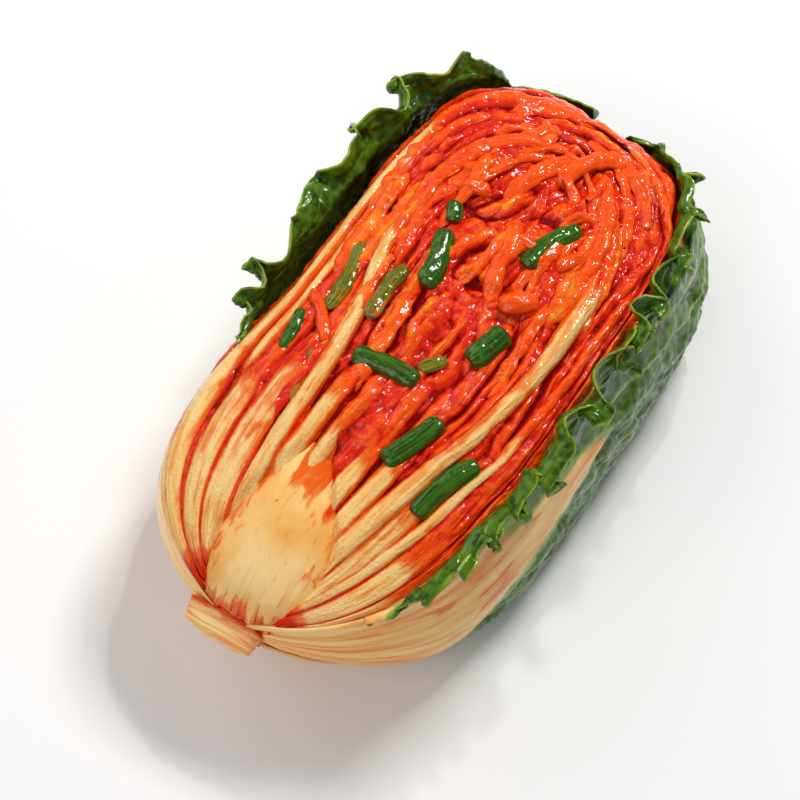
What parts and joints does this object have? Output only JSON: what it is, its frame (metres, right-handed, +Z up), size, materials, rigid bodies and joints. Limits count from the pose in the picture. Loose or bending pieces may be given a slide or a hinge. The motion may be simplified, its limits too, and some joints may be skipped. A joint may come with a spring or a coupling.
{
  "type": "napa cabbage kimchi half",
  "caption": "Half head of seasoned napa cabbage on its back: nested leaves, pale core, frilled outer leaves, spring onion and radish bits.",
  "frame": {"origin": "under the middle of the part's box, on the surface that it lies on", "axes": "+Z up out of the cut face, +Y along the head from the root stub to the leaf tips, +X to the flank with the large frilled leaf"},
  "size_m": [0.1414, 0.2472, 0.0877],
  "materials": {
    "pale_stalk": "wet cream stalk",
    "seasoned_leaf": "wet leaf coated in red chilli paste",
    "seasoned_heart": "wet leaf hearts, deep red",
    "green_leaf": "wet dark green leaf with a cream stalk",
    "spring_onion": "wet deep green tube",
    "radish": "wet red stick",
    "olive_leaf": "wet olive leaf strip"
  },
  "bodies": {
    "root": {"core": "pale_stalk", "heart": "seasoned_heart", "leaf_layer_1": "seasoned_leaf", "leaf_layer_2": "seasoned_leaf", "leaf_layer_3": "seasoned_leaf", "leaf_layer_4": "seasoned_leaf", "outer_leaf_right": "green_leaf", "outer_leaf_left": "green_leaf", "outer_leaf_back": "green_leaf", "onion_1": "spring_onion", "onion_2": "spring_onion", "onion_3": "spring_onion", "onion_4": "spring_onion", "onion_5": "spring_onion", "onion_6": "spring_onion", "onion_7": "spring_onion", "onion_8": "spring_onion", "radish_1": "radish", "radish_2": "radish", "radish_3": "radish", "leaf_strip_1": "olive_leaf", "leaf_strip_2": "olive_leaf", "leaf_strip_3": "olive_leaf", "leaf_strip_4": "olive_leaf"}
  },
  "joints": []
}
